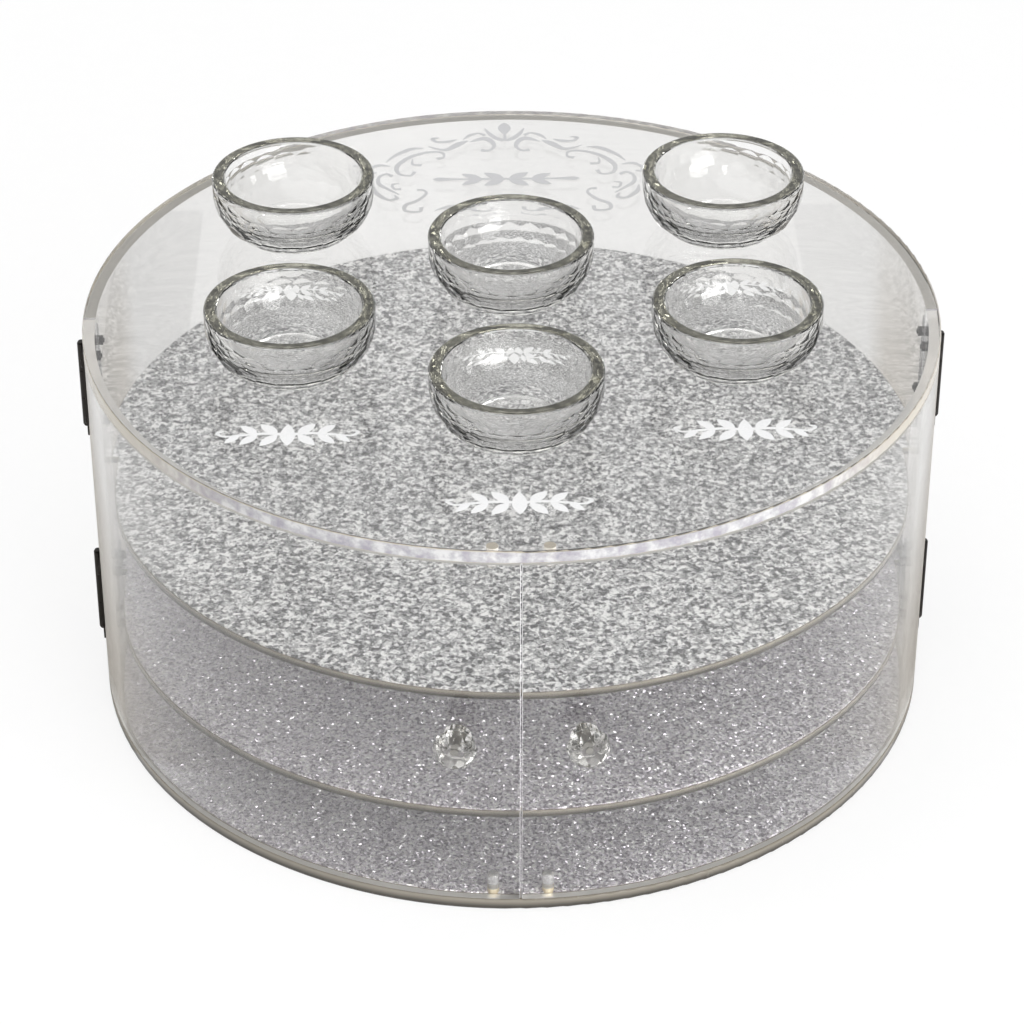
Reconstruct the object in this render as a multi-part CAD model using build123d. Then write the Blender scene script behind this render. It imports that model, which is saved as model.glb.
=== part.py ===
from build123d import *
import math
import os

# Three-tier round seder plate in clear acrylic, in millimetres.
# The origin is the centre of the base plate's underside, +Z is up, and the doors face -Y.

# Round body
plate_diameter = 360.0
base_thickness = 5.0
top_thickness = 6.0
wall_thickness = 5.0
plate_edge_round = 0.8

# Shelves and the glitter sheets that line them, with the clear height over each sheet
shelf_thickness = 3.2
liner_thickness = 0.8
lower_room = 37.0
middle_room = 55.0
upper_room = 65.0

# Clearances
bond_line = 0.05
door_gap = 0.5
hinge_edge_gap = 0.5
seam_gap = 1.0
shelf_to_door = 3.5
liner_margin = 0.5
liner_to_wall = 1.0
hole_clearance = 0.15
thread_clearance = 0.03

# Hinges
hinge_height = 40.0
upper_hinge_drop = 8.0
leaf_width = 11.0
leaf_thickness = 1.0
leaf_corner = 1.5
knuckle_radius = 1.8
knuckle_gap = 0.3
hinge_pin_radius = 0.8
hinge_pin_clearance = 0.04
hinge_pin_head_radius = 1.4
hinge_pin_head_height = 0.8

# Hinge screws and nuts
screw_radius = 1.0
screw_head_radius = 1.9
screw_head_height = 0.9
screw_slot_width = 0.6
screw_slot_depth = 0.5
screw_from_edge = 6.5
screw_spacing = 28.0
screw_over_shelf = 2.7
screw_end = 0.6
nut_across_flats = 3.6
nut_thickness = 1.6

# Door knobs, along their axis from the door outwards
knob_from_seam = 25.0
knob_sides = 10
knob_foot_radius = 6.0
knob_neck_radius = 5.2
knob_neck_length = 3.0
knob_girdle_radius = 9.0
knob_girdle_start = 7.5
knob_girdle_width = 1.5
knob_table_radius = 5.4
knob_length = 15.0
knob_screw_radius = 1.5
knob_screw_depth = 8.0
knob_screw_head_radius = 2.8
knob_screw_head_height = 1.6

# Stop pins behind the doors' free edges
stop_radius = 2.4
lower_stop_length = 10.0
upper_stop_length = 5.0
stop_from_seam = 11.0
stop_gap = 0.3
stop_round = 1.5

# Bowls
bowl_diameter = 70.0
bowl_height = 28.0
bowl_foot_diameter = 38.0
bowl_rim_width = 5.5
bowl_rim_round = 1.2
bowl_rim_band = 7.0
bowl_inner_band = 4.0
bowl_floor_thickness = 6.0
bowl_floor_diameter = 24.0
bowl_ring_radius = 107.5
bowl_ring_back = 14.5
bowl_rest_gap = 0.05
ring_bowl_angles = {
    "back_right": 30.0,
    "back_left": 150.0,
    "front_left": 212.0,
    "front_right": -32.0,
    "front_middle": -90.0,
}

# Radii and heights that follow from the sizes above
outer_radius = plate_diameter / 2
inner_radius = outer_radius - wall_thickness
shelf_front_radius = inner_radius - shelf_to_door
shelf_rear_radius = inner_radius - bond_line
base_liner_top = base_thickness + liner_thickness
lower_shelf_bottom = base_liner_top + lower_room
lower_shelf_top = lower_shelf_bottom + shelf_thickness
upper_shelf_bottom = lower_shelf_top + liner_thickness + middle_room
upper_shelf_top = upper_shelf_bottom + shelf_thickness
top_bottom = upper_shelf_top + liner_thickness + upper_room
top_face = top_bottom + top_thickness
door_bottom = base_thickness + door_gap
door_top = top_bottom - door_gap
door_middle = (door_bottom + door_top) / 2
cutter_size = 2 * plate_diameter


def half_space(side_x=0.0, side_y=0.0, edge=0.0):
    """Large block on one side of the plane x = edge or y = edge."""
    shift = edge + cutter_size / 2
    return Pos(side_x * shift, side_y * shift, 0) * Box(cutter_size, cutter_size, cutter_size)


def disc(radius, bottom, thickness):
    return Pos(0, 0, bottom) * extrude(Circle(radius), thickness)


def ring(radius, thickness, bottom, height):
    """Upright tube of the given outer radius."""
    return Pos(0, 0, bottom) * extrude(Circle(radius) - Circle(radius - thickness), height)


def rod(radius, start, end):
    """Round bar along X, from start to end."""
    return Pos((start + end) / 2, 0, 0) * Rot(0, 90, 0) * Cylinder(radius, end - start)


def mirrored(shape):
    """The same piece on the left side."""
    return mirror(shape, about=Plane.YZ)


def flat_seat(radius, half_width):
    """Distance from the axis at which a flat face of that half width clears a hollow curve."""
    return math.sqrt(radius**2 - half_width**2) - bond_line


# Plates
def round_plate(bottom, thickness):
    plate = disc(outer_radius, bottom, thickness)
    return fillet(plate.edges(), plate_edge_round)


def shelf_outline(front_radius, rear_radius):
    """Disc whose rear half reaches the wall and whose front half stays clear of the doors."""
    rear_middle = (cutter_size + hinge_edge_gap) / 2
    rear = Circle(rear_radius) & Pos(0, rear_middle) * Rectangle(cutter_size, cutter_size)
    return Circle(front_radius) + rear


def shelf(bottom):
    return Pos(0, 0, bottom) * extrude(shelf_outline(shelf_front_radius, shelf_rear_radius), shelf_thickness)


def shelf_liner(bottom):
    outline = shelf_outline(shelf_front_radius - liner_margin, shelf_rear_radius - liner_margin)
    return Pos(0, 0, bottom) * extrude(outline, liner_thickness)


# The lower stop pins stand on the base through two holes in its sheet
stop_ring = inner_radius - stop_gap - stop_radius
stop_angle = -90 + math.degrees(math.asin(stop_from_seam / stop_ring))
to_stop = Rot(0, 0, stop_angle) * Pos(stop_ring, 0, 0)
stop_hole = to_stop * Cylinder(stop_radius + hole_clearance, cutter_size)

parts = {}
parts["base_plate"] = round_plate(0, base_thickness)
base_liner = disc(inner_radius - liner_to_wall, base_thickness, liner_thickness)
parts["base_liner"] = base_liner - stop_hole - mirrored(stop_hole)
parts["lower_shelf"] = shelf(lower_shelf_bottom)
parts["lower_liner"] = shelf_liner(lower_shelf_top)
parts["upper_shelf"] = shelf(upper_shelf_bottom)
parts["upper_liner"] = shelf_liner(upper_shelf_top)
parts["top_plate"] = round_plate(top_bottom, top_thickness)

# Hinge stations on the right side: middle heights, and the screws' places on each leaf. The lower
# hinge's upper screws stand clear over the sheet on the lower shelf.
lower_liner_top = lower_shelf_top + liner_thickness
hinge_levels = {
    "lower": lower_liner_top + screw_over_shelf - screw_spacing / 2,
    "upper": door_top - upper_hinge_drop - hinge_height / 2,
}
screw_angle = math.degrees(screw_from_edge / outer_radius)
screw_offsets = (-screw_spacing / 2, screw_spacing / 2)
leaf_inner_radius = outer_radius + bond_line
leaf_outer_radius = leaf_inner_radius + leaf_thickness
hinge_axis_x = leaf_inner_radius + knuckle_radius
knuckle_length = (hinge_height - 2 * knuckle_gap) / 3
knuckle_step = knuckle_length + knuckle_gap


def at_screws(piece, side):
    """Copies of a radial piece at the right-hand hinges' screws, on the wall (1) or the door (-1)."""
    return [
        Pos(0, 0, level + offset) * Rot(0, 0, side * screw_angle) * piece
        for level in hinge_levels.values()
        for offset in screw_offsets
    ]


screw_hole_radius = screw_radius + hole_clearance
screw_hole = rod(screw_hole_radius, inner_radius - wall_thickness, leaf_outer_radius + leaf_thickness)
wall_holes = at_screws(screw_hole, 1)
door_holes = at_screws(screw_hole, -1)

# Back wall, a half cylinder that stands on the base and carries the top plate
wall_ring = ring(outer_radius, wall_thickness, base_thickness, top_bottom - base_thickness)
back_wall = wall_ring & half_space(side_y=1, edge=hinge_edge_gap / 2)
parts["back_wall"] = back_wall - wall_holes - [mirrored(hole) for hole in wall_holes]

# Doors, quarter cylinders that hang between base and top plate
knob_angle = -90 + math.degrees(math.asin(knob_from_seam / outer_radius))
to_knob = Pos(0, 0, door_middle) * Rot(0, 0, knob_angle)
knob_hole_radius = knob_screw_radius + hole_clearance
knob_drill = rod(knob_hole_radius, inner_radius - wall_thickness, outer_radius + wall_thickness)
knob_hole = to_knob * knob_drill
door_ring = ring(outer_radius, wall_thickness, door_bottom, door_top - door_bottom)
door = door_ring & half_space(side_y=-1, edge=hinge_edge_gap / 2) & half_space(side_x=1, edge=seam_gap / 2)
door = door - door_holes - knob_hole
parts["door_right"] = door
parts["door_left"] = mirrored(door)


# Hinges: leaves rolled to the wall's curve, three knuckles on a headed pin
def hinge_leaf(side, own_levels, other_levels):
    """Leaf on the wall (side 1) or on the door (side -1), about the middle of its height."""
    rolled = ring(leaf_outer_radius, leaf_thickness, -hinge_height / 2, hinge_height)
    reach = leaf_width - hinge_edge_gap / 2
    middle = side * (leaf_width + hinge_edge_gap / 2) / 2
    outline = RectangleRounded(reach, hinge_height, leaf_corner)
    blank = extrude(Plane.YZ * Pos(middle, 0) * outline, plate_diameter)
    leaf = rolled & blank
    knuckle = Cylinder(knuckle_radius, knuckle_length)
    knuckle_room = Cylinder(knuckle_radius + knuckle_gap, knuckle_length + 2 * knuckle_gap)
    for level in own_levels:
        leaf += Pos(hinge_axis_x, 0, level) * knuckle
    for level in other_levels:
        leaf -= Pos(hinge_axis_x, 0, level) * knuckle_room
    leaf -= Pos(hinge_axis_x, 0, 0) * Cylinder(hinge_pin_radius + hinge_pin_clearance, 2 * hinge_height)
    for offset in screw_offsets:
        leaf -= Pos(0, 0, offset) * Rot(0, 0, side * screw_angle) * screw_hole
    return leaf


def hinge_pin():
    pin = Cylinder(hinge_pin_radius, hinge_height)
    head = Cylinder(hinge_pin_head_radius, hinge_pin_head_height)
    head_height = (hinge_height + hinge_pin_head_height) / 2
    return Pos(hinge_axis_x, 0, 0) * (pin + Pos(0, 0, head_height) * head + Pos(0, 0, -head_height) * head)


wall_leaf = hinge_leaf(1, (-knuckle_step, knuckle_step), (0,))
door_leaf = hinge_leaf(-1, (0,), (-knuckle_step, knuckle_step))
for name, level in hinge_levels.items():
    for piece_name, piece in (("wall_leaf", wall_leaf), ("door_leaf", door_leaf), ("hinge_pin", hinge_pin())):
        placed = Pos(0, 0, level) * piece
        parts[f"{piece_name}_{name}_right"] = placed
        parts[f"{piece_name}_{name}_left"] = mirrored(placed)


# Hinge screws pass through leaf and acrylic, with a nut on the inside
nut_corner_radius = nut_across_flats / 2 / math.cos(math.pi / 6)
nut_seat = flat_seat(inner_radius, nut_corner_radius)
nut_back = nut_seat - nut_thickness


def hinge_screw():
    head_top = leaf_outer_radius + screw_head_height
    head = rod(screw_head_radius, leaf_outer_radius, head_top)
    head = fillet(head.edges().group_by(Axis.X)[-1], screw_head_height / 2)
    slot = Pos(head_top, 0, 0) * Box(2 * screw_slot_depth, screw_slot_width, 3 * screw_head_radius)
    return rod(screw_radius, nut_back - screw_end, leaf_outer_radius) + head - slot


def hinge_nut():
    outline = RegularPolygon(nut_corner_radius, 6) - Circle(screw_radius + thread_clearance)
    return extrude(Plane.YZ.offset(nut_back) * outline, nut_thickness)


for piece_name, piece in (("hinge_screws", hinge_screw()), ("hinge_nuts", hinge_nut())):
    on_wall = at_screws(piece, 1)
    on_door = at_screws(piece, -1)
    parts[f"{piece_name}_wall"] = Compound(children=on_wall + [mirrored(one) for one in on_wall])
    parts[f"{piece_name}_door_right"] = Compound(children=on_door)
    parts[f"{piece_name}_door_left"] = Compound(children=[mirrored(one) for one in on_door])


# Knobs: faceted crystals, each held by a screw from inside its door
def knob():
    """Knob along X, its foot on the door's outer face."""
    stations = (
        (0, knob_foot_radius),
        (knob_neck_length, knob_neck_radius),
        (knob_girdle_start, knob_girdle_radius),
        (knob_girdle_start + knob_girdle_width, knob_girdle_radius),
        (knob_length, knob_table_radius),
    )
    sections = [
        Plane.YZ.offset(outer_radius + distance) * RegularPolygon(radius, knob_sides)
        for distance, radius in stations
    ]
    bore_radius = knob_screw_radius + thread_clearance
    bore = rod(bore_radius, outer_radius - bond_line, outer_radius + knob_screw_depth)
    return loft(sections, ruled=True) - bore


def knob_screw():
    seat = flat_seat(inner_radius, knob_screw_head_radius)
    head = rod(knob_screw_head_radius, seat - knob_screw_head_height, seat)
    head = fillet(head.edges().group_by(Axis.X)[0], knob_screw_head_height / 2)
    return rod(knob_screw_radius, seat, outer_radius + knob_screw_depth - hole_clearance) + head


for piece_name, piece in (("knob", knob()), ("knob_screw", knob_screw())):
    placed = to_knob * piece
    parts[f"{piece_name}_right"] = placed
    parts[f"{piece_name}_left"] = mirrored(placed)


# Stop pins: two on the base and two under the top plate, just behind the doors' free edges
def stop_pin(length):
    """Pin on its foot, with a rounded free end."""
    pin = Cylinder(stop_radius, length, align=(Align.CENTER, Align.CENTER, Align.MIN))
    return fillet(pin.edges().group_by(Axis.Z)[-1], stop_round)


lower_stop = Pos(0, 0, base_thickness) * to_stop * stop_pin(lower_stop_length)
upper_stop = Pos(0, 0, top_bottom) * to_stop * Rot(180, 0, 0) * stop_pin(upper_stop_length)
for name, stop in (("lower", lower_stop), ("upper", upper_stop)):
    parts[f"stop_pin_{name}_right"] = stop
    parts[f"stop_pin_{name}_left"] = mirrored(stop)


# Bowls: thick glass, turned about Z, standing loose on the top plate
def bowl():
    rim_radius = bowl_diameter / 2
    foot_radius = bowl_foot_diameter / 2
    mouth_radius = rim_radius - bowl_rim_width
    floor_radius = bowl_floor_diameter / 2
    shoulder = (rim_radius, bowl_height - bowl_rim_band)
    inner_shoulder = (mouth_radius, bowl_height - bowl_inner_band)
    foot = (foot_radius, 0)
    floor = (floor_radius, bowl_floor_thickness)
    outside = TangentArc(shoulder, foot, tangent=(0, -1))
    inside = TangentArc(inner_shoulder, floor, tangent=(0, -1))
    rest = [
        Polyline(foot, (0, 0), (0, bowl_floor_thickness), floor),
        Polyline(inner_shoulder, (mouth_radius, bowl_height), (rim_radius, bowl_height), shoulder),
    ]
    section = make_face([outside, inside, *rest])
    glass = revolve(Plane.XZ * section, Axis.Z)
    rim = glass.edges().group_by(Axis.Z)[-1]
    return fillet(rim, bowl_rim_round)


glass_bowl = bowl()
bowl_bottom = top_face + bowl_rest_gap
bowl_middle = Pos(0, bowl_ring_back, bowl_bottom)
parts["bowl_middle"] = bowl_middle * glass_bowl
for name, angle in ring_bowl_angles.items():
    place_x = bowl_ring_radius * math.cos(math.radians(angle))
    place_y = bowl_ring_radius * math.sin(math.radians(angle))
    parts[f"bowl_{name}"] = bowl_middle * Pos(place_x, place_y, 0) * glass_bowl

os.makedirs("parts", exist_ok=True)
for name, shape in parts.items():
    export_step(shape, f"parts/{name}.step")
print(len(parts), "nodes, hinge axis at x =", round(hinge_axis_x, 3), "knob height", round(door_middle, 2))
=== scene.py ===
import bmesh
import bpy
import math
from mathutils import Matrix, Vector


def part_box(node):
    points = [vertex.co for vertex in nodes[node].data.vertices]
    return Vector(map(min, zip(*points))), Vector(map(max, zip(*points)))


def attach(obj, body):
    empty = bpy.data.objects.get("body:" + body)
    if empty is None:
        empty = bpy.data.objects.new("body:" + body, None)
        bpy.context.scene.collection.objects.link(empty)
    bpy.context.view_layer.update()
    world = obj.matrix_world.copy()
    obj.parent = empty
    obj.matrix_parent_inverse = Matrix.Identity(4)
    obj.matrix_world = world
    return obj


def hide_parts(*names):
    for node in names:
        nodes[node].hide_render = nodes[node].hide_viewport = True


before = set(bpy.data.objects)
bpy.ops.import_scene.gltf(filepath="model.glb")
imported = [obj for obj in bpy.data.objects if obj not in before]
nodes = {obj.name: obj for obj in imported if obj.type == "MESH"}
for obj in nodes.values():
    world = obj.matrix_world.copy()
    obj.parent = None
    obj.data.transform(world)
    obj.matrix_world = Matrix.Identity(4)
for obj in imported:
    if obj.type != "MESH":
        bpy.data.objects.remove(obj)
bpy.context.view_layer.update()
scene = bpy.context.scene
mm = 0.001


# Studio. A camera standing in front of the table and looking down on the plate, a white paper
# floor that runs out of the picture, and the soft light of a white room with darker side walls.
def place_object(name, data):
    """Puts a new object into the scene."""
    made = bpy.data.objects.new(name, data)
    scene.collection.objects.link(made)
    return made


camera_data = bpy.data.cameras.new("Camera")
camera_data.sensor_width = 36.0
camera_data.lens = 123.25
camera = place_object("Camera", camera_data)
camera.location = (-0.0265, -1.2712, 0.9305)
camera.rotation_euler = (math.radians(56.02), 0.0, math.radians(-1.2))
scene.camera = camera
scene.view_settings.view_transform = "Standard"


def colour(code):
    """Linear colour of an sRGB hex code."""
    channels = [int(code[i:i + 2], 16) / 255 for i in (1, 3, 5)]
    linear = [c / 12.92 if c <= 0.04045 else ((c + 0.055) / 1.055) ** 2.4 for c in channels]
    return (*linear, 1.0)


def add(tree, kind, inputs=None, stops=(), **settings):
    """Adds a node with its settings, its inputs (values or other nodes' outputs) and colour stops."""
    made = tree.nodes.new(kind)
    for name, value in settings.items():
        setattr(made, name, value)
    for name, value in (inputs or {}).items():
        if isinstance(value, bpy.types.NodeSocket):
            tree.links.new(value, made.inputs[name])
        else:
            made.inputs[name].default_value = value
    if stops:
        ramp = made.color_ramp.elements
        for end, (position, code) in zip(ramp, (stops[0], stops[-1])):
            end.position = position
            end.color = colour(code)
        for position, code in stops[1:-1]:
            ramp.new(position).color = colour(code)
    return made


def new_material(name):
    """A material with an empty node tree."""
    material = bpy.data.materials.new(name)
    material.use_nodes = True
    material.node_tree.nodes.clear()
    return material, material.node_tree


# White room: the camera sees a white backdrop and matt surfaces an even light, while gloss and
# glass also meet darker side walls and a grey ceiling, which draw the edges of the clear pieces.
world = bpy.data.worlds.new("White room")
world.use_nodes = True
scene.world = world
room = world.node_tree
room.nodes.clear()
direction = add(room, "ShaderNodeSeparateXYZ", {
    "Vector": add(room, "ShaderNodeTexCoord").outputs["Generated"]})
sideways = add(room, "ShaderNodeMath", {0: direction.outputs["X"]}, operation="ABSOLUTE")
side_wall = add(room, "ShaderNodeMapRange", {
    "Value": sideways.outputs["Value"], "From Min": 0.35, "From Max": 0.9}, interpolation_type="SMOOTHSTEP")
ceiling = add(room, "ShaderNodeMapRange", {
    "Value": direction.outputs["Z"], "From Min": 0.5, "From Max": 0.9}, interpolation_type="SMOOTHSTEP")
walls = add(room, "ShaderNodeMix", {
    "Factor": side_wall.outputs["Result"],
    "A": colour("#FFFFFF"), "B": colour("#75746F")}, data_type="RGBA")
room_light = add(room, "ShaderNodeMix", {
    "Factor": ceiling.outputs["Result"],
    "A": walls.outputs["Result"], "B": colour("#C4C4C6")}, data_type="RGBA")
room_path = add(room, "ShaderNodeLightPath")
even_light = add(room, "ShaderNodeMix", {
    "Factor": room_path.outputs["Is Diffuse Ray"],
    "A": room_light.outputs["Result"], "B": colour("#E0E0E0")}, data_type="RGBA")
seen = add(room, "ShaderNodeMix", {
    "Factor": room_path.outputs["Is Camera Ray"],
    "A": even_light.outputs["Result"], "B": colour("#FFFFFF")}, data_type="RGBA")
backdrop = add(room, "ShaderNodeBackground", {"Color": seen.outputs["Result"], "Strength": 1.0})
add(room, "ShaderNodeOutputWorld", {"Surface": backdrop.outputs["Background"]})

lamp_target = Vector((0, 0, 100 * mm))


def softbox(name, place, width, height, power):
    """Soft lamp that looks at the middle of the plate's body."""
    data = bpy.data.lights.new(name, "AREA")
    data.shape = "RECTANGLE"
    data.size = width
    data.size_y = height
    data.energy = power
    lamp = place_object(name, data)
    lamp.location = place
    lamp.rotation_euler = (lamp_target - lamp.location).to_track_quat("-Z", "Y").to_euler()


softbox("Top softbox", (-0.55, -0.25, 1.35), 2.4, 1.8, 9.0)
softbox("Front softbox", (1.0, -1.35, 0.5), 1.3, 1.0, 24.0)

# White seamless paper: it shows as white, and a share of it stays matt and takes the shadow
paper_white_share = 0.75
paper, paper_tree = new_material("White seamless paper")
paper_fibre = add(paper_tree, "ShaderNodeTexNoise", {"Scale": 1 / (1.5 * mm), "Detail": 2.0})
paper_tone = add(paper_tree, "ShaderNodeMix", {
    "Factor": paper_fibre.outputs["Fac"],
    "A": colour("#FAFAFA"), "B": colour("#FFFFFF")}, data_type="RGBA")
paper_matt = add(paper_tree, "ShaderNodeBsdfDiffuse", {"Color": paper_tone.outputs["Result"]})
paper_white = add(paper_tree, "ShaderNodeEmission", {"Color": colour("#FFFFFF"), "Strength": 1.0})
paper_path = add(paper_tree, "ShaderNodeLightPath")
gloss_or_sight = add(paper_tree, "ShaderNodeMath", {
    0: paper_path.outputs["Is Camera Ray"], 1: paper_path.outputs["Is Glossy Ray"]}, operation="MAXIMUM")
any_sight = add(paper_tree, "ShaderNodeMath", {
    0: gloss_or_sight.outputs["Value"], 1: paper_path.outputs["Is Transmission Ray"]}, operation="MAXIMUM")
shown_white = add(paper_tree, "ShaderNodeMath", {
    0: any_sight.outputs["Value"], 1: paper_white_share}, operation="MULTIPLY")
paper_shader = add(paper_tree, "ShaderNodeMixShader", {
    0: shown_white.outputs["Value"], 1: paper_matt.outputs["BSDF"], 2: paper_white.outputs["Emission"]})
add(paper_tree, "ShaderNodeOutputMaterial", {"Surface": paper_shader.outputs["Shader"]})


def lay_sheet(name, corners, height, material):
    """Lays a flat sheet with four corners at a height, as part of the studio."""
    mesh = bpy.data.meshes.new(name)
    mesh.from_pydata([(x, y, height) for x, y in corners], [], [(0, 1, 2, 3)])
    mesh.materials.append(material)
    sheet = place_object(name, mesh)
    return sheet


floor_half = 4.0
floor_corners = [(x * floor_half, y * floor_half) for x, y in ((-1, -1), (1, -1), (1, 1), (-1, 1))]
lay_sheet("Floor", floor_corners, -0.1 * mm, paper)

# Shaded cards lying close on both sides of the base, seen only in gloss and through glass: white
# paper with a soft grey stripe of painted shade, standing in for the shaded floor beside the wall,
# that draws the outline of the clear wall
card_near = 165 * mm
card_far = 315 * mm
card_front = -150 * mm
card_back = 400 * mm
card_height = 0.5 * mm
stripe_near = 160 * mm
stripe_far = 260 * mm
stripe_lean = 0.133

card_paper, card_tree = new_material("White card with a painted shade stripe")
card_place = add(card_tree, "ShaderNodeSeparateXYZ", {
    "Vector": add(card_tree, "ShaderNodeTexCoord").outputs["Object"]})
card_sideways = add(card_tree, "ShaderNodeMath", {0: card_place.outputs["X"]}, operation="ABSOLUTE")
stripe_shift = add(card_tree, "ShaderNodeMath", {
    0: card_place.outputs["Y"], 1: stripe_lean}, operation="MULTIPLY")
stripe_offset = add(card_tree, "ShaderNodeMath", {
    0: card_sideways.outputs["Value"], 1: stripe_shift.outputs["Value"]}, operation="SUBTRACT")
stripe_across = add(card_tree, "ShaderNodeMapRange", {
    "Value": stripe_offset.outputs["Value"], "From Min": stripe_near, "From Max": stripe_far})
# Painted shade: a grey stripe along the wall, fading out towards the card's front and back ends
stripe = add(card_tree, "ShaderNodeValToRGB", {"Fac": stripe_across.outputs["Result"]}, stops=(
    (0.0, "#000000"), (0.12, "#FFFFFF"), (0.3, "#FFFFFF"), (1.0, "#000000")))
card_along = add(card_tree, "ShaderNodeMapRange", {
    "Value": card_place.outputs["Y"], "From Min": card_front, "From Max": card_back})
card_ends = add(card_tree, "ShaderNodeValToRGB", {"Fac": card_along.outputs["Result"]}, stops=(
    (0.0, "#000000"), (0.25, "#FFFFFF"), (0.7, "#FFFFFF"), (1.0, "#000000")))
card_shade = add(card_tree, "ShaderNodeMath", {
    0: stripe.outputs["Color"], 1: card_ends.outputs["Color"]}, operation="MULTIPLY")
card_tone = add(card_tree, "ShaderNodeMix", {
    "Factor": card_shade.outputs["Value"],
    "A": colour("#F0F0F0"), "B": colour("#D2CDC6")}, data_type="RGBA")
card_matt = add(card_tree, "ShaderNodeBsdfDiffuse", {"Color": card_tone.outputs["Result"]})
add(card_tree, "ShaderNodeOutputMaterial", {"Surface": card_matt.outputs["BSDF"]})

card_corners = (
    (card_near, card_front),
    (card_far, card_front),
    (card_far, card_back),
    (card_near, card_back),
)
for side, sign in (("left", -1), ("right", 1)):
    card = lay_sheet(f"Card {side}", [(sign * x, y) for x, y in card_corners], card_height, card_paper)
    card.visible_camera = False
    card.visible_diffuse = False
    card.visible_shadow = False


# Base plate and shelves. Round boards of smoked grey-brown acrylic, cut by laser and polished;
# the shelves are bonded along the back wall and stay clear of the doors.
def dress(material, *names):
    """Gives CAD pieces their finish."""
    for name in names:
        slots = nodes[name].data.materials
        slots.clear()
        slots.append(material)


# Smoked acrylic: glossy, faintly clouded, with painted shade that darkens its edges towards the underside
smoked, smoked_tree = new_material("Smoked acrylic, polished edge")
smoked_place = add(smoked_tree, "ShaderNodeTexCoord")
smoked_cloud = add(smoked_tree, "ShaderNodeTexNoise", {
    "Vector": smoked_place.outputs["Object"], "Scale": 1 / (18 * mm), "Detail": 3.0})
smoked_height = add(smoked_tree, "ShaderNodeSeparateXYZ", {"Vector": smoked_place.outputs["Generated"]})
# Painted shade: the tone runs from dark at the underside of each board to light at its top
smoked_underside_shade = add(smoked_tree, "ShaderNodeMapRange", {
    "Value": smoked_height.outputs["Z"], "From Min": 0.3, "From Max": 0.8})
smoked_shade = add(smoked_tree, "ShaderNodeMix", {
    "Factor": 0.2, "A": smoked_underside_shade.outputs["Result"], "B": smoked_cloud.outputs["Fac"]}, data_type="FLOAT")
smoked_tone = add(smoked_tree, "ShaderNodeMix", {
    "Factor": smoked_shade.outputs["Result"],
    "A": colour("#2E2B27"), "B": colour("#8A8479")}, data_type="RGBA")
smoked_rub = add(smoked_tree, "ShaderNodeTexNoise", {
    "Vector": smoked_place.outputs["Object"], "Scale": 1 / (4 * mm), "Detail": 4.0})
smoked_rough = add(smoked_tree, "ShaderNodeMapRange", {
    "Value": smoked_rub.outputs["Fac"], "To Min": 0.16, "To Max": 0.32})
smoked_shader = add(smoked_tree, "ShaderNodeBsdfPrincipled", {
    "Base Color": smoked_tone.outputs["Result"], "Roughness": smoked_rough.outputs["Result"], "IOR": 1.49})
add(smoked_tree, "ShaderNodeOutputMaterial", {"Surface": smoked_shader.outputs["BSDF"]})
dress(smoked, "base_plate", "lower_shelf", "upper_shelf")


# Glitter sheets. Crinkled silver foil on a plastic sheet, laid on the base and on both shelves.
# The white on ridges and flakes is painted glint and the dark in the folds between them painted
# shade; on the fine sheets the flakes also lean and catch the lamps.
def glitter(name, grain, flake, tilt, dark, middle, light):
    """Foil sheet with crinkles and tilted flakes of about these sizes, toned from dark to light as painted
    shade in the folds and painted glints on ridges and flakes.
    """
    flake_share = 0.22
    material, tree = new_material(name)
    place = add(tree, "ShaderNodeTexCoord")
    crinkle = add(tree, "ShaderNodeTexNoise", {
        "Vector": place.outputs["Object"], "Scale": 1 / grain,
        "Detail": 3.0, "Roughness": 0.6, "Distortion": 0.8})
    flakes = add(tree, "ShaderNodeTexVoronoi", {
        "Vector": place.outputs["Object"], "Scale": 1 / flake, "Randomness": 1.0}, feature="F1")
    chance = add(tree, "ShaderNodeSeparateColor", {"Color": flakes.outputs["Color"]})
    mixed = add(tree, "ShaderNodeMix", {
        "Factor": flake_share, "A": crinkle.outputs["Fac"], "B": chance.outputs["Red"]}, data_type="FLOAT")
    # Painted light: dark where the crinkles lie low, white where they rise or a flake is drawn bright
    shade = add(tree, "ShaderNodeValToRGB", {"Fac": mixed.outputs["Result"]}, stops=(
        (0.37, dark), (0.5, middle), (0.63, light)))
    folds = add(tree, "ShaderNodeBump", {
        "Height": mixed.outputs["Result"], "Strength": 0.8, "Distance": 0.3 * grain})
    # Each flake leans its own way
    around_zero = add(tree, "ShaderNodeVectorMath", {
        0: flakes.outputs["Color"], 1: (0.5, 0.5, 0.5)}, operation="SUBTRACT")
    lean = add(tree, "ShaderNodeVectorMath", {
        0: around_zero.outputs["Vector"], "Scale": tilt}, operation="SCALE")
    leaning = add(tree, "ShaderNodeVectorMath", {
        0: folds.outputs["Normal"], 1: lean.outputs["Vector"]}, operation="ADD")
    turned = add(tree, "ShaderNodeVectorMath", {0: leaning.outputs["Vector"]}, operation="NORMALIZE")
    shader = add(tree, "ShaderNodeBsdfPrincipled", {
        "Base Color": shade.outputs["Color"], "Metallic": 0.5, "Roughness": 0.3,
        "Normal": turned.outputs["Vector"]})
    add(tree, "ShaderNodeOutputMaterial", {"Surface": shader.outputs["BSDF"]})
    return material


silver_glitter = glitter("Silver glitter sheet", 2.6 * mm, 1.56 * mm, 0.0, "#626264", "#B8B8BA", "#FFFFFF")
lilac_glitter = glitter("Fine lilac glitter sheet", 1.8 * mm, 0.85 * mm, 1.5, "#A6A0AB", "#EAE4EE", "#FFFFFF")
dress(silver_glitter, "upper_liner")
dress(lilac_glitter, "lower_liner", "base_liner")
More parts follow.
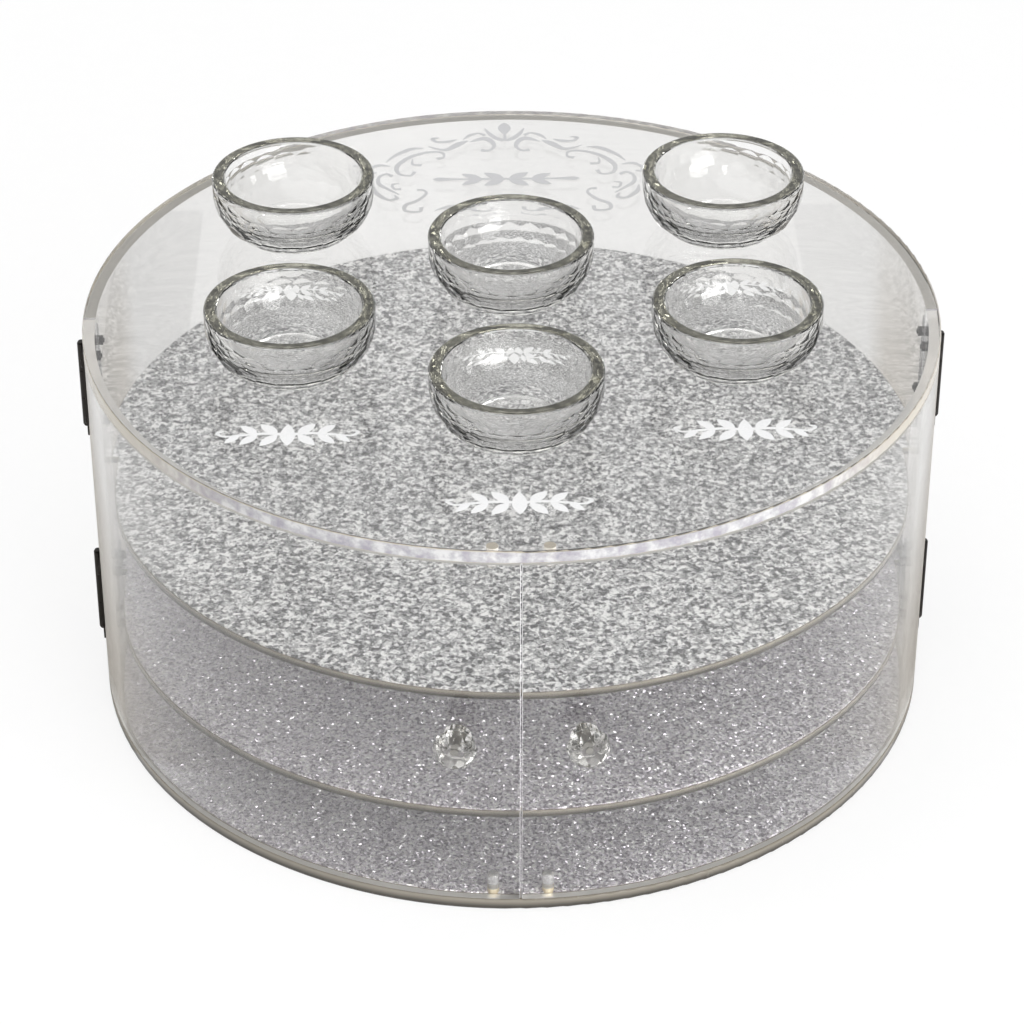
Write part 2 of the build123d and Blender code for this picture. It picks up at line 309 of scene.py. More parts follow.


# Back wall, doors and top plate. Clear cast acrylic, bent warm to a cylinder and bonded with
# solvent; the doors hang free. It has a faint warm cast, and its cut edges are pale and satin,
# with painted shade at their rounded corners and painted glints where they face front or back.
def acrylic(name, is_round, cut, corner, cast_density):
    """Clear sheet, round or flat, with satin edges in two tones, the darker one painted shade at the rounded
    corners, painted glints on edges that face front or back, and a warm cast in its depth.
    """
    material, tree = new_material(name)
    place = add(tree, "ShaderNodeTexCoord")
    through = (0.0, 0.0, 1.0)
    if is_round:
        level = add(tree, "ShaderNodeVectorMath", {
            0: place.outputs["Object"], 1: (1.0, 1.0, 0.0)}, operation="MULTIPLY")
        outward = add(tree, "ShaderNodeVectorMath", {0: level.outputs["Vector"]}, operation="NORMALIZE")
        through = outward.outputs["Vector"]
    wave = add(tree, "ShaderNodeTexNoise", {
        "Vector": place.outputs["Object"], "Scale": 1 / (60 * mm), "Detail": 1.0})
    bump = add(tree, "ShaderNodeBump", {
        "Height": wave.outputs["Fac"], "Strength": 0.05, "Distance": 0.2 * mm})
    # How far the surface is a broad face of the sheet (1) rather than a cut edge (0)
    facing = add(tree, "ShaderNodeVectorMath", {
        0: place.outputs["Normal"], 1: through}, operation="DOT_PRODUCT")
    broad = add(tree, "ShaderNodeMath", {0: facing.outputs["Value"]}, operation="ABSOLUTE")
    # The cut tone is the edges' warm satin; the darker corner tone is painted shade along the rounded corners
    edge = add(tree, "ShaderNodeValToRGB", {"Fac": broad.outputs["Value"]}, stops=(
        (0.0, cut), (0.3, cut), (0.75, corner), (0.97, "#F9F9F9"), (1.0, "#F9F9F9")))
    # Painted glints: pale lilac and white marks on the cut edges that face the front or the back, standing in
    # for light and glitter caught in the edge
    glint_streaks = add(tree, "ShaderNodeTexNoise", {
        "Vector": place.outputs["Object"], "Scale": 1 / (6 * mm), "Detail": 4.0, "Roughness": 0.65})
    glint_tone = add(tree, "ShaderNodeValToRGB", {"Fac": glint_streaks.outputs["Fac"]}, stops=(
        (0.36, "#C4C0CA"), (0.5, "#DEDCE1"), (0.62, "#FFFFFF")))
    turned = add(tree, "ShaderNodeSeparateXYZ", {"Vector": place.outputs["Normal"]})
    frontward = add(tree, "ShaderNodeMath", {0: turned.outputs["Y"]}, operation="ABSOLUTE")
    glint_facing = add(tree, "ShaderNodeMapRange", {
        "Value": frontward.outputs["Value"],
        "From Min": 0.45, "From Max": 0.85}, interpolation_type="SMOOTHSTEP")
    flat_cut = add(tree, "ShaderNodeMapRange", {
        "Value": broad.outputs["Value"], "From Min": 0.5, "From Max": 0.1})
    # The painted glints lie only on flat cuts that face the front or the back
    lit = add(tree, "ShaderNodeMath", {
        0: glint_facing.outputs["Result"], 1: flat_cut.outputs["Result"]}, operation="MULTIPLY")
    tone = add(tree, "ShaderNodeMix", {
        "Factor": lit.outputs["Value"],
        "A": edge.outputs["Color"], "B": glint_tone.outputs["Color"]}, data_type="RGBA")
    # Broad faces and edges turned to the rear are clear, the other edges half satin
    clear_face = add(tree, "ShaderNodeMapRange", {
        "Value": broad.outputs["Value"], "From Min": 0.6, "From Max": 0.95, "To Min": 0.45, "To Max": 1.0})
    clear_rear = add(tree, "ShaderNodeMapRange", {
        "Value": turned.outputs["Y"], "From Min": 0.1, "From Max": 0.5})
    clearness = add(tree, "ShaderNodeMath", {
        0: clear_face.outputs["Result"], 1: clear_rear.outputs["Result"]}, operation="MAXIMUM")
    shader = add(tree, "ShaderNodeBsdfPrincipled", {
        "Base Color": tone.outputs["Result"], "Roughness": 0.02, "IOR": 1.49,
        "Transmission Weight": clearness.outputs["Value"], "Normal": bump.outputs["Normal"]})
    # Light falls through the sheet and leaves only a faint shadow
    unshaded = add(tree, "ShaderNodeBsdfTransparent", {"Color": colour("#F6F6F6")})
    path = add(tree, "ShaderNodeLightPath")
    mix = add(tree, "ShaderNodeMixShader", {
        0: path.outputs["Is Shadow Ray"], 1: shader.outputs["BSDF"], 2: unshaded.outputs["BSDF"]})
    cast = add(tree, "ShaderNodeVolumeAbsorption", {"Color": colour("#E9E5DD"), "Density": cast_density})
    add(tree, "ShaderNodeOutputMaterial", {
        "Surface": mix.outputs["Shader"], "Volume": cast.outputs["Volume"]})
    return material


plate_acrylic = acrylic("Clear cast acrylic plate", False, "#EAE1D1", "#D6CCBA", 14.0)
wall_acrylic = acrylic("Clear cast acrylic wall", True, "#F2F0EC", "#E9E6E0", 24.0)
dress(plate_acrylic, "top_plate")
dress(wall_acrylic, "back_wall", "door_left", "door_right")

# Seam highlights. A thin rounded strip on the free edge of each door, toned pale as a painted
# highlight: it shows the light that the seam catches as a pale line.
polished, polished_tree = new_material("Seam strip with painted highlight")
polished_place = add(polished_tree, "ShaderNodeTexCoord")
seam_glint_mottle = add(polished_tree, "ShaderNodeTexNoise", {
    "Vector": polished_place.outputs["Object"], "Scale": 1 / (9 * mm), "Detail": 2.0})
# Pale mottled tone: painted highlight along the free edge of the door
seam_glint_tone = add(polished_tree, "ShaderNodeMix", {
    "Factor": seam_glint_mottle.outputs["Fac"],
    "A": colour("#D2D0D2"), "B": colour("#EEECEE")}, data_type="RGBA")
polished_shader = add(polished_tree, "ShaderNodeBsdfPrincipled", {
    "Base Color": seam_glint_tone.outputs["Result"], "Roughness": 0.25, "IOR": 1.49})
add(polished_tree, "ShaderNodeOutputMaterial", {"Surface": polished_shader.outputs["BSDF"]})

outer_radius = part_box("top_plate")[1][0]
wall_thickness = 5 * mm
skin_thickness = 0.26 * mm
skin_inset = 0.3 * mm
skin_lift = 0.01 * mm
skin_fullness = 0.4
skin_steps = 8


def finished_mesh(name, shape, material):
    """Mesh of a finished shape, in one material."""
    mesh = bpy.data.meshes.new(name)
    shape.to_mesh(mesh)
    shape.free()
    mesh.materials.append(material)
    return mesh


for side, sign in (("left", -1), ("right", 1)):
    low, high = (Vector(corner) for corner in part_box(f"door_{side}"))
    edge_x = high.x if side == "left" else low.x
    half_depth = wall_thickness / 2 - skin_inset
    skin = bmesh.new()
    rings = []
    for height in (low.z + skin_inset, high.z - skin_inset):
        ring = []
        for step in range(skin_steps + 1):
            turn = math.pi * step / skin_steps
            swell = math.sin(turn) ** skin_fullness if 0 < step < skin_steps else 0.0
            bulge = skin_lift + skin_thickness * swell
            depth = wall_thickness / 2 - outer_radius - half_depth * math.cos(turn)
            ring.append(skin.verts.new((edge_x - sign * bulge, depth, height)))
        rings.append(ring)
    lower, upper = rings
    for i in range(skin_steps + 1):
        j = (i + 1) % (skin_steps + 1)
        skin.faces.new((lower[i], lower[j], upper[j], upper[i]))
    skin.faces.new(lower)
    skin.faces.new(upper)
    bmesh.ops.recalc_face_normals(skin, faces=skin.faces[:])
    seam = place_object(f"seam_highlight_{side}", finished_mesh(f"Seam highlight {side}", skin, polished))
    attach(seam, f"{side}_door")

# Hinges. Small rolled butt hinges of darkened nickel steel, screwed through the acrylic with
# slotted screws and hexagon nuts; the pin is headed at both ends. Almost black, with a satin gleam.
nickel, nickel_tree = new_material("Darkened nickel steel, satin")
nickel_place = add(nickel_tree, "ShaderNodeTexCoord")
nickel_grain = add(nickel_tree, "ShaderNodeTexNoise", {
    "Vector": nickel_place.outputs["Object"], "Scale": 1 / (0.8 * mm), "Detail": 4.0, "Roughness": 0.65})
nickel_tone = add(nickel_tree, "ShaderNodeMix", {
    "Factor": nickel_grain.outputs["Fac"],
    "A": colour("#211F1E"), "B": colour("#403D3A")}, data_type="RGBA")
nickel_rough = add(nickel_tree, "ShaderNodeMapRange", {
    "Value": nickel_grain.outputs["Fac"], "To Min": 0.25, "To Max": 0.5})
nickel_bump = add(nickel_tree, "ShaderNodeBump", {
    "Height": nickel_grain.outputs["Fac"], "Strength": 0.2, "Distance": 0.05 * mm})
nickel_shader = add(nickel_tree, "ShaderNodeBsdfPrincipled", {
    "Base Color": nickel_tone.outputs["Result"], "Metallic": 1.0, "Roughness": nickel_rough.outputs["Result"],
    "Normal": nickel_bump.outputs["Normal"]})
add(nickel_tree, "ShaderNodeOutputMaterial", {"Surface": nickel_shader.outputs["BSDF"]})
dress(nickel, *[name for name in nodes if name.startswith(("wall_leaf", "door_leaf", "hinge_"))])

# Stop pins. Clear acrylic pegs in turned brass feet, two on the base and two under the top plate,
# which keep the doors from swinging inward. The feet are warm and dull; the upper two are painted
# paler and less metallic, as painted light on feet that sit dark against the plate.
foot_end = 2.6 * mm
peg_start = 2.9 * mm
lower_feet_below = 80 * mm
upper_feet_above = 120 * mm

peg, peg_tree = new_material("Turned brass foot with clear acrylic peg")
peg_place = add(peg_tree, "ShaderNodeTexCoord")
peg_turning = add(peg_tree, "ShaderNodeTexNoise", {
    "Vector": peg_place.outputs["Object"], "Scale": 1 / (1.2 * mm), "Detail": 3.0})
brass_tone = add(peg_tree, "ShaderNodeMix", {
    "Factor": peg_turning.outputs["Fac"],
    "A": colour("#D0BF9A"), "B": colour("#EADFC6")}, data_type="RGBA")
peg_height = add(peg_tree, "ShaderNodeSeparateXYZ", {"Vector": peg_place.outputs["Object"]})
# Painted light: feet higher up are toned paler and less metallic than the same brass below
upper_painted_light = add(peg_tree, "ShaderNodeMapRange", {
    "Value": peg_height.outputs["Z"], "From Min": lower_feet_below, "From Max": upper_feet_above})
foot_tone = add(peg_tree, "ShaderNodeMix", {
    "Factor": upper_painted_light.outputs["Result"],
    "A": brass_tone.outputs["Result"], "B": colour("#FFFAF0")}, data_type="RGBA")
foot_metal = add(peg_tree, "ShaderNodeMapRange", {
    "Value": upper_painted_light.outputs["Result"], "To Min": 0.45, "To Max": 0.1})
# Distance from the foot's end of the pin, which is the lower end on the base and the upper end above
over_base = add(peg_tree, "ShaderNodeMath", {
    0: peg_height.outputs["Z"], 1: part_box("stop_pin_lower_left")[0][2]}, operation="SUBTRACT")
under_top = add(peg_tree, "ShaderNodeMath", {
    0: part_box("stop_pin_upper_left")[1][2], 1: peg_height.outputs["Z"]}, operation="SUBTRACT")
from_foot = add(peg_tree, "ShaderNodeMath", {
    0: over_base.outputs["Value"], 1: under_top.outputs["Value"]}, operation="MINIMUM")
clear_share = add(peg_tree, "ShaderNodeMapRange", {
    "Value": from_foot.outputs["Value"], "From Min": foot_end, "From Max": peg_start})
metal_share = add(peg_tree, "ShaderNodeMapRange", {
    "Value": clear_share.outputs["Result"], "To Min": foot_metal.outputs["Result"], "To Max": 0.0})
peg_tone = add(peg_tree, "ShaderNodeMix", {
    "Factor": clear_share.outputs["Result"],
    "A": foot_tone.outputs["Result"], "B": colour("#FAFAFA")}, data_type="RGBA")
peg_rough = add(peg_tree, "ShaderNodeMapRange", {
    "Value": clear_share.outputs["Result"], "To Min": 0.3, "To Max": 0.05})
peg_clear = add(peg_tree, "ShaderNodeMapRange", {
    "Value": clear_share.outputs["Result"], "To Min": 0.0, "To Max": 0.8})
peg_shader = add(peg_tree, "ShaderNodeBsdfPrincipled", {
    "Base Color": peg_tone.outputs["Result"], "Metallic": metal_share.outputs["Result"],
    "Roughness": peg_rough.outputs["Result"], "IOR": 1.49,
    "Transmission Weight": peg_clear.outputs["Result"]})
add(peg_tree, "ShaderNodeOutputMaterial", {"Surface": peg_shader.outputs["BSDF"]})
dress(peg, *[name for name in nodes if name.startswith("stop_pin")])

# Knobs. Cut crystal buttons with three rows of facets over a narrow neck, one on each door, held
# by a screw from the inside. Their facets catch the white room and the dark neck by turns.
crystal, crystal_tree = new_material("Cut crystal")
crystal_place = add(crystal_tree, "ShaderNodeTexCoord")
crystal_polish = add(crystal_tree, "ShaderNodeTexNoise", {
    "Vector": crystal_place.outputs["Object"], "Scale": 1 / (5 * mm), "Detail": 2.0})
crystal_bump = add(crystal_tree, "ShaderNodeBump", {
    "Height": crystal_polish.outputs["Fac"], "Strength": 0.05, "Distance": 0.1 * mm})
crystal_shader = add(crystal_tree, "ShaderNodeBsdfPrincipled", {
    "Base Color": colour("#E6E5E2"), "Roughness": 0.12, "IOR": 1.54, "Transmission Weight": 1.0,
    "Normal": crystal_bump.outputs["Normal"]})
crystal_pass = add(crystal_tree, "ShaderNodeBsdfTransparent", {"Color": colour("#F0F0EE")})
crystal_path = add(crystal_tree, "ShaderNodeLightPath")
crystal_mix = add(crystal_tree, "ShaderNodeMixShader", {
    0: crystal_path.outputs["Is Shadow Ray"],
    1: crystal_shader.outputs["BSDF"], 2: crystal_pass.outputs["BSDF"]})
add(crystal_tree, "ShaderNodeOutputMaterial", {"Surface": crystal_mix.outputs["Shader"]})

# Bright steel of the knobs' screws: a grey gleam through the crystal
steel, steel_tree = new_material("Bright turned steel")
steel_place = add(steel_tree, "ShaderNodeTexCoord")
steel_turning = add(steel_tree, "ShaderNodeTexNoise", {
    "Vector": steel_place.outputs["Object"], "Scale": 1 / (0.8 * mm), "Detail": 3.0})
steel_tone = add(steel_tree, "ShaderNodeMix", {
    "Factor": steel_turning.outputs["Fac"],
    "A": colour("#8E8C88"), "B": colour("#A8A6A2")}, data_type="RGBA")
steel_rough = add(steel_tree, "ShaderNodeMapRange", {
    "Value": steel_turning.outputs["Fac"], "To Min": 0.3, "To Max": 0.45})
steel_shader = add(steel_tree, "ShaderNodeBsdfPrincipled", {
    "Base Color": steel_tone.outputs["Result"], "Metallic": 1.0, "Roughness": steel_rough.outputs["Result"]})
add(steel_tree, "ShaderNodeOutputMaterial", {"Surface": steel_shader.outputs["BSDF"]})
dress(steel, "knob_screw_left", "knob_screw_right")

knob_sides = 10
knob_from_seam = 25 * mm
knob_height = sum(corner[2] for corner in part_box("knob_right")) / 2
# Rings from the neck to the table: distance from the door, radius, and whether it turns half a side
knob_rings = [
    (3.0 * mm, 5.2 * mm, False),
    (5.4 * mm, 7.3 * mm, True),
    (7.8 * mm, 8.9 * mm, False),
    (9.2 * mm, 8.9 * mm, False),
    (12.2 * mm, 7.5 * mm, True),
    (14.5 * mm, 5.2 * mm, False),
]
knob_foot_radius = 5.9 * mm
same_plane = 0.01 * mm


def ring_points(distance, radius, turned):
    """Corners of a regular polygon across the X axis."""
    start = math.pi / knob_sides if turned else 0.0
    turns = [start + 2 * math.pi * i / knob_sides for i in range(knob_sides)]
    return [Vector((distance, radius * math.cos(turn), radius * math.sin(turn))) for turn in turns]


def knob_mesh():
    """Faceted head as the hull of its rings, with the neck drawn down to the door."""
    shape = bmesh.new()
    for ring in knob_rings:
        for point in ring_points(*ring):
            shape.verts.new(point)
    bmesh.ops.convex_hull(shape, input=shape.verts[:])
    neck_distance = knob_rings[0][0]
    neck_faces = [f for f in shape.faces if all(abs(v.co.x - neck_distance) < same_plane for v in f.verts)]
    drawn = bmesh.ops.extrude_face_region(shape, geom=neck_faces)
    for corner in drawn["geom"]:
        if isinstance(corner, bmesh.types.BMVert):
            radial = Vector((0, corner.co.y, corner.co.z)).normalized()
            corner.co = radial * knob_foot_radius
    bmesh.ops.delete(shape, geom=neck_faces, context="FACES_ONLY")
    bmesh.ops.recalc_face_normals(shape, faces=shape.faces[:])
    return finished_mesh("Cut crystal knob", shape, crystal)


cut_knob = knob_mesh()
for side, sign in (("left", -1), ("right", 1)):
    turn = math.asin(sign * knob_from_seam / outer_radius) - math.pi / 2
    knob = place_object(f"crystal_knob_{side}", cut_knob)
    knob.rotation_euler = (0, 0, turn)
    knob.location = (outer_radius * math.cos(turn), outer_radius * math.sin(turn), knob_height)
    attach(knob, f"{side}_door")
    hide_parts(f"knob_{side}")


# Printed ornament. Frosted ink on the top plate: a grey scroll cartouche at the back and a white
# leaf sprig in front of each bowl, drawn as flat shapes a tenth of a millimetre thick.
def frosted_ink(name, dark, light):
    """Matt ink with a fine speckle."""
    material, tree = new_material(name)
    place = add(tree, "ShaderNodeTexCoord")
    speck = add(tree, "ShaderNodeTexNoise", {
        "Vector": place.outputs["Object"], "Scale": 1 / (0.7 * mm), "Detail": 3.0})
    tone = add(tree, "ShaderNodeMix", {
        "Factor": speck.outputs["Fac"], "A": colour(dark), "B": colour(light)}, data_type="RGBA")
    shader = add(tree, "ShaderNodeBsdfPrincipled", {
        "Base Color": tone.outputs["Result"], "Roughness": 0.85, "Specular IOR Level": 0.2})
    add(tree, "ShaderNodeOutputMaterial", {"Surface": shader.outputs["BSDF"]})
    return material


grey_ink = frosted_ink("Frosted grey print", "#BCBCBE", "#CCCCCE")
white_ink = frosted_ink("Frosted white print", "#DEDEDF", "#F2F2F2")
print_thickness = 0.1 * mm
print_step = 0.01 * mm
plate_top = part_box("top_plate")[1][2]
steps_per_span = 8
finest_line = 0.05


def smooth_path(points):
    """Points of a Catmull-Rom curve through rows of (x, y, half width), in millimetres."""
    rows = [Vector(point) for point in points]
    rows = [2 * rows[0] - rows[1], *rows, 2 * rows[-1] - rows[-2]]
    path = []
    for before, start, end, after in zip(rows, rows[1:], rows[2:], rows[3:]):
        for step in range(steps_per_span):
            t = step / steps_per_span
            path.append(0.5 * (2 * start + (end - before) * t
                               + (2 * before - 5 * start + 4 * end - after) * t ** 2
                               + (3 * start - before - 3 * end + after) * t ** 3))
    return path + [rows[-2]]


def draw_stroke(shape, points, place, mirror, height):
    """Adds a flat stroke that swells and tapers along its path."""
    path = smooth_path(points)
    pairs = []
    for before, here, after in zip(path[:1] + path, path, path[1:] + path[-1:]):
        along = Vector((after.x - before.x, after.y - before.y)).normalized()
        across = Vector((-along.y, along.x)) * max(here.z, finest_line)
        sides = (Vector((here.x, here.y)) + across, Vector((here.x, here.y)) - across)
        pairs.append([
            shape.verts.new((place[0] + mirror * side.x * mm, place[1] + side.y * mm, height))
            for side in sides
        ])
    for (left, right), (next_left, next_right) in zip(pairs, pairs[1:]):
        shape.faces.new((left, right, next_right, next_left)).normal_update()


def leaf(base, tip, width):
    """Stroke of an almond leaf from base to tip."""
    base, tip = Vector(base), Vector(tip)
    swell = ((0.0, 0.05), (0.25, 0.8), (0.5, 1.0), (0.75, 0.7), (1.0, 0.02))
    return [(*base.lerp(tip, share), width / 2 * fullness) for share, fullness in swell]


def print_piece(name, middle_strokes, side_strokes, ink, place):
    """Makes one printed piece from strokes on its middle line and strokes drawn on both sides of it."""
    shape = bmesh.new()
    strokes = [(points, 1) for points in middle_strokes]
    strokes += [(points, mirror) for points in side_strokes for mirror in (1, -1)]
    for number, (points, mirror) in enumerate(strokes):
        draw_stroke(shape, points, place, mirror, plate_top + number * print_step)
    for face in shape.faces:
        if face.normal.z < 0:
            face.normal_flip()
    piece = place_object(name, finished_mesh(name, shape, ink))
    layer = piece.modifiers.new("Ink", "SOLIDIFY")
    layer.thickness = print_thickness
    layer.offset = 1.0
    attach(piece, "cabinet")


# Cartouche strokes as (x, y, half width) in millimetres from its middle: on its middle line, then
# its right half
cartouche_middle = [
    [(0, 31, 0.1), (0, 34, 2.0), (0, 37, 2.9), (0, 40, 2.2), (0, 42.5, 0.1)],
    [(0, 25, 0.9), (0, 28, 0.7), (0, 31, 0.5)],
]
cartouche_side = [
    [(0.5, 25, 1.0), (4, 27.5, 1.2), (7, 32, 1.0), (9, 37, 0.2)],
    [(11, 16, 1.2), (7.5, 15.5, 0.7), (5, 19.5, 0.9), (6.5, 25, 1.3), (10, 27, 1.6), (16, 24, 0.2)],
    [(17, 25, 0.3), (21, 22, 1.7), (26, 17, 1.2), (30, 17, 0.8), (35, 20, 0.2)],
    [(31, 8, 1.1), (28, 9.5, 0.6), (29, 14, 0.7), (36, 14, 0.9), (44, 9, 1.1), (49, 1, 1.1),
     (48, -6, 0.8), (43, -7.5, 0.6), (41, -4, 0.9)],
    [(38, 2, 0.9), (42, 3, 0.7), (42, 8, 0.2)],
    [(51, -8, 1.0), (54, -6, 0.7), (57, -9, 0.8), (57, -15, 1.0), (53, -20, 0.8), (48, -25, 0.2)],
    [(47, -20, 0.8), (50, -20, 0.6), (51, -16, 0.6), (48, -15, 0.2)],
    [(40, -21, 0.9), (37, -21.5, 0.6), (36, -25, 0.7), (40, -31, 0.9), (45, -35, 1.0), (45, -40, 0.8),
     (39, -41, 0.7), (38, -37, 0.9)],
    [(32, -40, 0.2), (26, -37, 1.2), (20, -37, 1.4), (13, -41, 1.0), (8, -40, 0.7), (8, -36, 0.9)],
    [(9, 30, 0.9), (12, 32, 0.6), (16, 30, 0.9), (19, 26, 0.2)],
    [(22, 26, 0.2), (26, 24, 1.1), (31, 24, 0.8), (33, 27, 0.9), (30, 28, 0.3)],
    [(37, 18, 0.2), (43, 17, 1.2), (50, 11, 0.9), (54, 5, 0.2)],
    [(52, 1, 0.2), (57, 2, 1.0), (61, -1, 0.7), (61, -5, 0.9), (58, -5, 0.3)],
    [(59, -18, 0.2), (58, -24, 1.1), (53, -30, 0.8), (49, -29, 0.9), (50, -26, 0.3)],
    leaf((1, -12), (10, -6), 4.5),
    leaf((1, -12), (10, -18), 4.5),
    leaf((11, -12), (20, -7), 4.0),
    leaf((11, -12), (20, -17), 4.0),
    [(0, -12, 0.8), (12, -12, 0.8), (22, -12, 0.7), (30, -12, 1.6), (33, -12, 0.1)],
]
cartouche_back = 125 * mm
print_piece("scroll_cartouche", cartouche_middle, cartouche_side, grey_ink, (0.0, cartouche_back))

# Sprig strokes in millimetres from its middle: on its middle line, then its right half
sprig_middle = [leaf((0, -8), (0, 8), 6.0)]
sprig_side = [
    [(0, 0, 0.9), (9, 1.0, 0.8), (18, 0.0, 0.7), (25, -1.0, 0.5), (28, 1.5, 0.8), (25.5, 3, 0.3)],
    leaf((4, 0.5), (11, 8), 4.6),
    leaf((4, 0), (11, -8), 4.6),
    leaf((12, 0.5), (19, 7), 4.0),
    leaf((12, 0), (19, -7), 4.0),
    leaf((19, 0), (25, -6), 3.2),
]
sprig_reach = 54 * mm
bowl_names = [name for name in nodes if name.startswith("bowl_")]
for name in bowl_names:
    low, high = (Vector(corner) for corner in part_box(name))
    middle = (low + high) / 2
    print_piece(f"sprig_{name}", sprig_middle, sprig_side, white_ink, (middle.x, middle.y - sprig_reach))

# Bowls. Thick pressed glass, turned inside and cut outside with three rows of flat facets, fire
# polished at the rim; they stand loose on the plate. Clear, with a mottled olive on the rim top,
# partly the glass's own cast and partly painted shade for the dark refraction in the rim.
bowl_low, bowl_high = (Vector(corner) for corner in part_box("bowl_middle"))
bowl_radius = (bowl_high.x - bowl_low.x) / 2
bowl_height = bowl_high.z - bowl_low.z
foot_radius = 19 * mm
mouth_radius = bowl_radius - 5.5 * mm
floor_radius = 12 * mm
floor_height = 6 * mm
rim_band = 7 * mm
inner_band = 4 * mm
rim_round = 1.2 * mm
olive_from = 26.5 * mm
olive_full = 27.5 * mm
bowl_turns = 96
outside_steps = 20
inside_steps = 16
corner_steps = 4
facets_around = 22
facet_depth = 0.45 * mm
facet_rows = ((17 * mm, 0.0), (11 * mm, 0.5), (5 * mm, 0.0))
sharp_from = math.radians(6)
same_point = 0.001 * mm

bowl_glass, bowl_tree = new_material("Cut soda-lime glass")
bowl_place = add(bowl_tree, "ShaderNodeTexCoord")
bowl_ripple = add(bowl_tree, "ShaderNodeTexNoise", {
    "Vector": bowl_place.outputs["Object"], "Scale": 1 / (9 * mm), "Detail": 2.0})
bowl_bump = add(bowl_tree, "ShaderNodeBump", {
    "Height": bowl_ripple.outputs["Fac"], "Strength": 0.25, "Distance": 0.4 * mm})
# The olive on the level top of the rim is partly the glass's cast and partly painted shade for the dark
# refraction seen there
bowl_upward = add(bowl_tree, "ShaderNodeSeparateXYZ", {"Vector": bowl_place.outputs["Normal"]})
bowl_height_at = add(bowl_tree, "ShaderNodeSeparateXYZ", {"Vector": bowl_place.outputs["Object"]})
bowl_level = add(bowl_tree, "ShaderNodeMapRange", {
    "Value": bowl_height_at.outputs["Z"], "From Min": olive_from, "From Max": olive_full})
bowl_flat = add(bowl_tree, "ShaderNodeMapRange", {
    "Value": bowl_upward.outputs["Z"], "From Min": 0.6, "From Max": 0.95})
bowl_rim = add(bowl_tree, "ShaderNodeMath", {
    0: bowl_level.outputs["Result"], 1: bowl_flat.outputs["Result"]}, operation="MULTIPLY")
bowl_mottle = add(bowl_tree, "ShaderNodeTexNoise", {
    "Vector": bowl_place.outputs["Object"], "Scale": 1 / (5 * mm), "Detail": 3.0, "Roughness": 0.65})
rim_olive_and_shade = add(bowl_tree, "ShaderNodeValToRGB", {"Fac": bowl_mottle.outputs["Fac"]}, stops=(
    (0.36, "#403D29"), (0.66, "#9C9A88")))
bowl_tone = add(bowl_tree, "ShaderNodeMix", {
    "Factor": bowl_rim.outputs["Value"],
    "A": colour("#FFFFFF"), "B": rim_olive_and_shade.outputs["Color"]}, data_type="RGBA")
bowl_clear = add(bowl_tree, "ShaderNodeMapRange", {
    "Value": bowl_rim.outputs["Value"], "To Min": 1.0, "To Max": 0.7})
bowl_shader = add(bowl_tree, "ShaderNodeBsdfPrincipled", {
    "Base Color": bowl_tone.outputs["Result"], "Roughness": 0.0, "IOR": 1.52,
    "Transmission Weight": bowl_clear.outputs["Result"], "Normal": bowl_bump.outputs["Normal"]})
bowl_pass = add(bowl_tree, "ShaderNodeBsdfTransparent", {"Color": colour("#EEEEEA")})
bowl_path = add(bowl_tree, "ShaderNodeLightPath")
bowl_mix = add(bowl_tree, "ShaderNodeMixShader", {
    0: bowl_path.outputs["Is Shadow Ray"], 1: bowl_shader.outputs["BSDF"], 2: bowl_pass.outputs["BSDF"]})
bowl_cast = add(bowl_tree, "ShaderNodeVolumeAbsorption", {"Color": colour("#C9C7B0"), "Density": 6.0})
add(bowl_tree, "ShaderNodeOutputMaterial", {
    "Surface": bowl_mix.outputs["Shader"], "Volume": bowl_cast.outputs["Volume"]})


def bend_radius(inward, drop):
    """Radius of a bend that leaves its shoulder straight down and ends inward and lower."""
    return (inward ** 2 + drop ** 2) / (2 * inward)


def bend(shoulder_radius, shoulder_height, end_radius, end_height, steps):
    """Quarter bend that leaves the shoulder straight down and runs to its end point."""
    drop = shoulder_height - end_height
    radius = bend_radius(shoulder_radius - end_radius, drop)
    middle = shoulder_radius - radius
    last = math.asin(drop / radius)
    turns = [last * i / steps for i in range(steps + 1)]
    return [(middle + radius * math.cos(turn), shoulder_height - radius * math.sin(turn)) for turn in turns]


def rim_corner(middle_radius, middle_height, start):
    """Rounded edge of the rim, a quarter turn from the start angle."""
    turns = [start + math.pi / 2 * i / corner_steps for i in range(corner_steps + 1)]
    return [
        (middle_radius + rim_round * math.cos(turn), middle_height + rim_round * math.sin(turn))
        for turn in turns
    ]


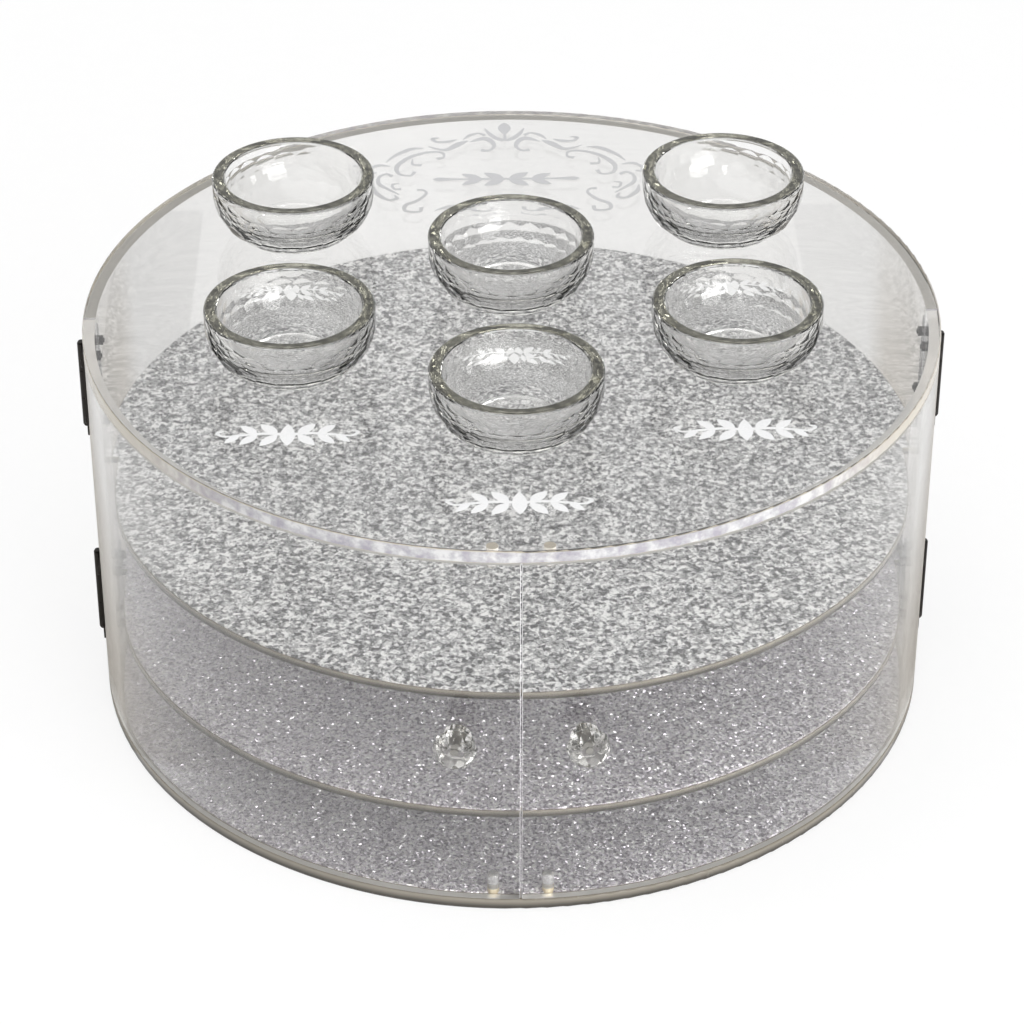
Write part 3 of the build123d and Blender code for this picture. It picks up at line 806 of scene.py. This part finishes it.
def turned_bowl():
    """Bowl as it is before cutting: its section turned around the upright axis."""
    outside = bend(bowl_radius, bowl_height - rim_band, foot_radius, 0.0, outside_steps)
    inside = bend(mouth_radius, bowl_height - inner_band, floor_radius, floor_height, inside_steps)
    rim_height = bowl_height - rim_round
    section = outside[::-1] + rim_corner(bowl_radius - rim_round, rim_height, 0.0)
    section += rim_corner(mouth_radius + rim_round, rim_height, math.pi / 2) + inside
    shape = bmesh.new()
    turns = [2 * math.pi * i / bowl_turns for i in range(bowl_turns)]
    rings = []
    for radius, height in section:
        rings.append([shape.verts.new((radius * math.cos(t), radius * math.sin(t), height)) for t in turns])
    for ring, following in zip(rings, rings[1:]):
        for i in range(bowl_turns):
            j = (i + 1) % bowl_turns
            shape.faces.new((ring[i], ring[j], following[j], following[i]))
    shape.faces.new(rings[0][::-1])
    shape.faces.new(rings[-1])
    bmesh.ops.remove_doubles(shape, verts=shape.verts[:], dist=same_point)
    return shape


def bowl_mesh():
    """Turned bowl, with facets cut off its outside by flat planes."""
    shape = turned_bowl()
    bend_drop = bowl_height - rim_band
    outside_bend = bend_radius(bowl_radius - foot_radius, bend_drop)
    for height, offset in facet_rows:
        slope = math.asin((bend_drop - height) / outside_bend)
        reach = bowl_radius - outside_bend + outside_bend * math.cos(slope)
        for i in range(facets_around):
            turn = 2 * math.pi * (i + offset) / facets_around
            radial = Vector((math.cos(turn), math.sin(turn), 0))
            normal = radial * math.cos(slope) - Vector((0, 0, math.sin(slope)))
            point = radial * reach + Vector((0, 0, height)) - normal * facet_depth
            everything = shape.verts[:] + shape.edges[:] + shape.faces[:]
            cut = bmesh.ops.bisect_plane(
                shape, geom=everything, plane_co=point, plane_no=normal, clear_outer=True)
            edges = [e for e in cut["geom_cut"] if isinstance(e, bmesh.types.BMEdge)]
            bmesh.ops.edgeloop_fill(shape, edges=edges)
    bmesh.ops.recalc_face_normals(shape, faces=shape.faces[:])
    for face in shape.faces:
        face.smooth = True
    mesh = finished_mesh("Cut glass bowl", shape, bowl_glass)
    mesh.set_sharp_from_angle(angle=sharp_from)
    return mesh


cut_bowl = bowl_mesh()
for name in bowl_names:
    low, high = (Vector(corner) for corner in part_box(name))
    middle = (low + high) / 2
    glass = place_object(f"glass_{name}", cut_bowl)
    glass.location = (middle.x, middle.y, low.z)
    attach(glass, name)
    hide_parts(name)
